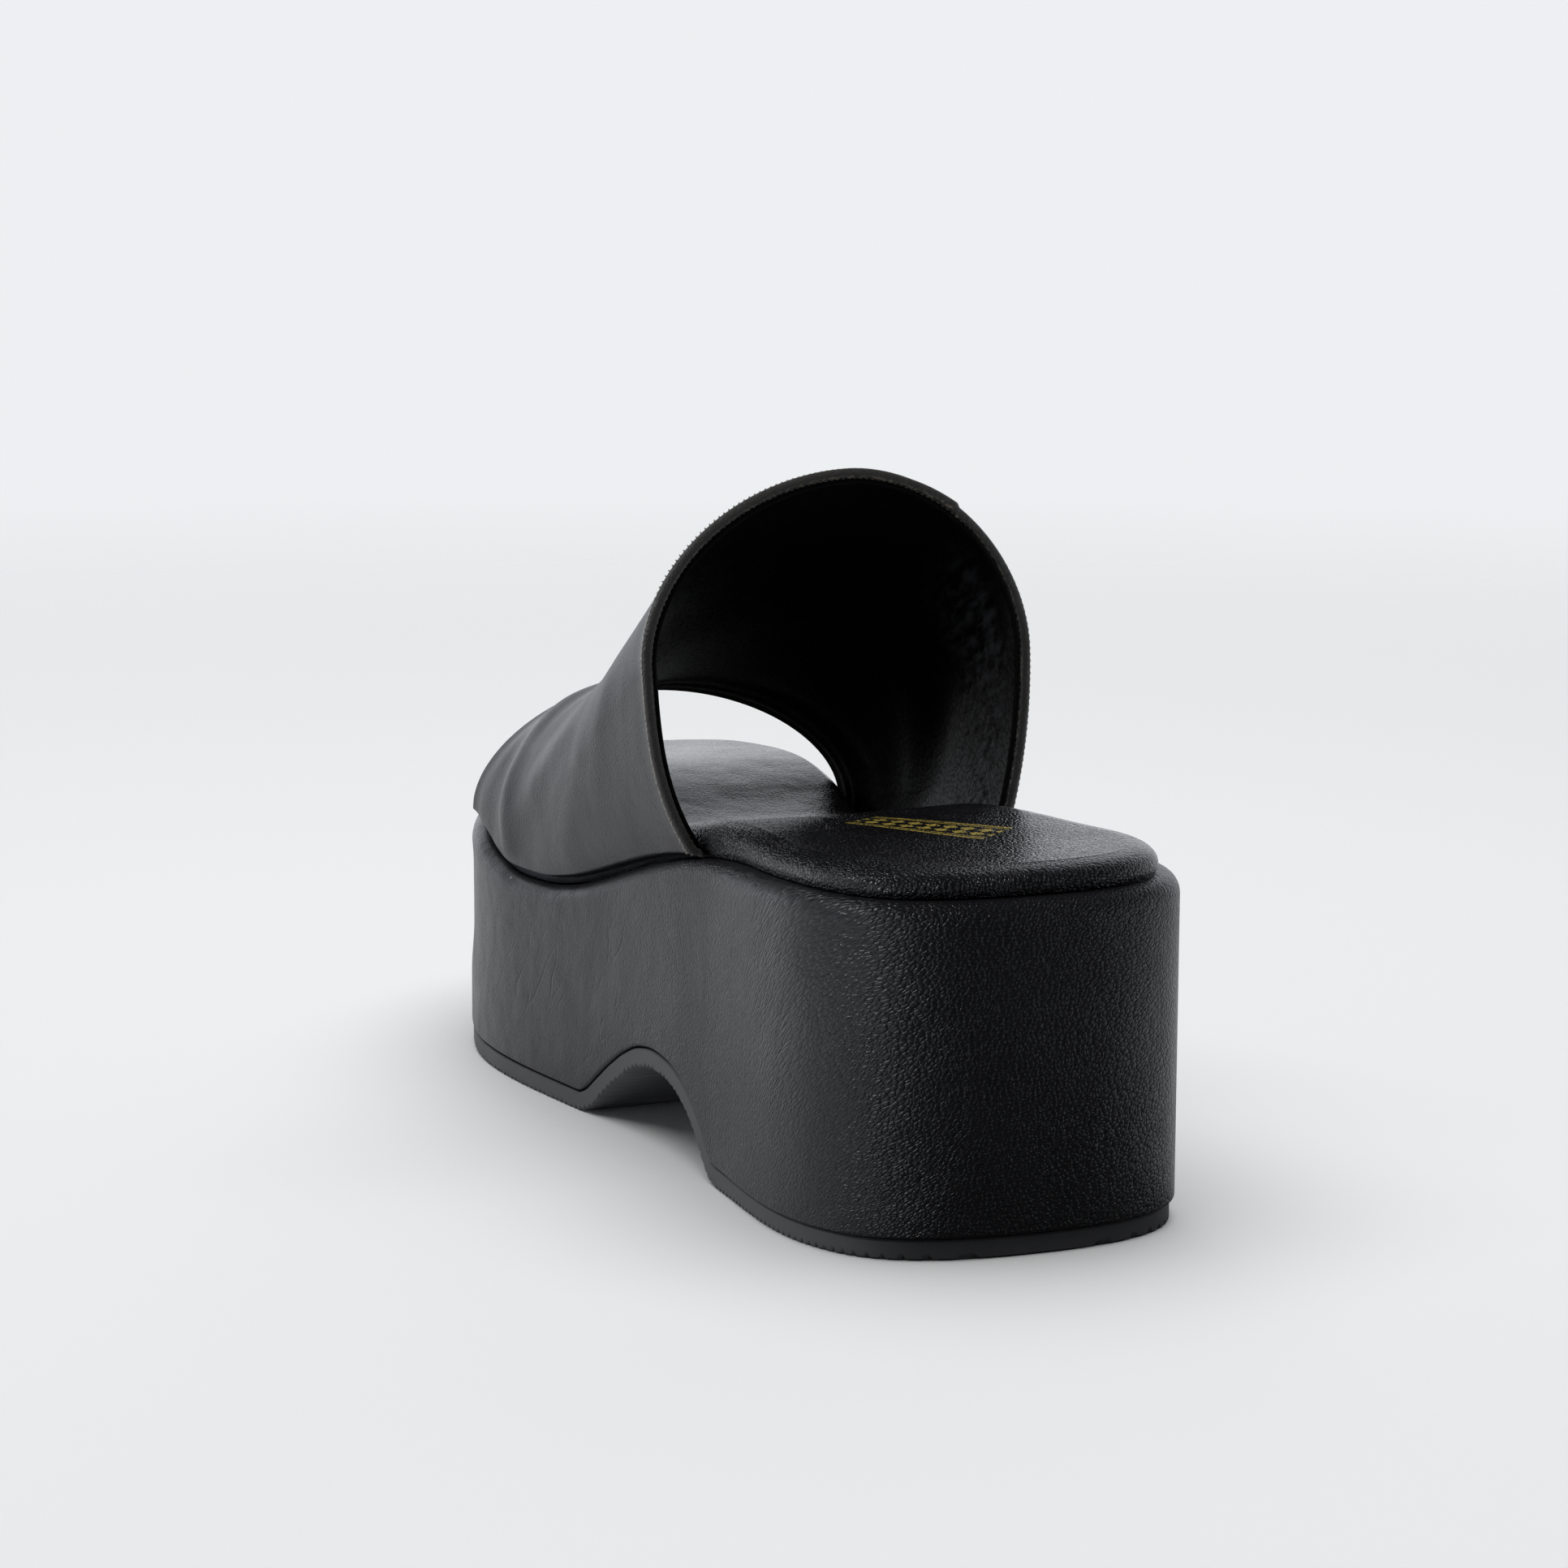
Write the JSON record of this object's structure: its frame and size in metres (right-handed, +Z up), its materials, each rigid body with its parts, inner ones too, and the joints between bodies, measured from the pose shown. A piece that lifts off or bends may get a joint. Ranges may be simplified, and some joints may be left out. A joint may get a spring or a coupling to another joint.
{
  "type": "platform mule",
  "caption": "Left platform mule: a wide leather band, open at toe and heel, on a thick leather-wrapped platform with a notch under the arch and a padded footbed.",
  "frame": {"origin": "on the ground under the middle of the shoe's box", "axes": "+Z up, -Y towards the toe, +X towards the shoe's left, outer side"},
  "size_m": [0.09, 0.25, 0.1343],
  "materials": {
    "outsole_rubber": "matte black rubber sheet with fine ribs",
    "platform_leather": "black grained leather, semi-gloss, lightly pebbled",
    "footbed_leather": "soft black grained leather over foam",
    "upper_leather": "smooth soft black leather with a folded, stitched edge"
  },
  "bodies": {
    "root": {"outsole": "outsole_rubber", "platform": "platform_leather", "footbed": "footbed_leather", "upper": "upper_leather"}
  },
  "joints": []
}
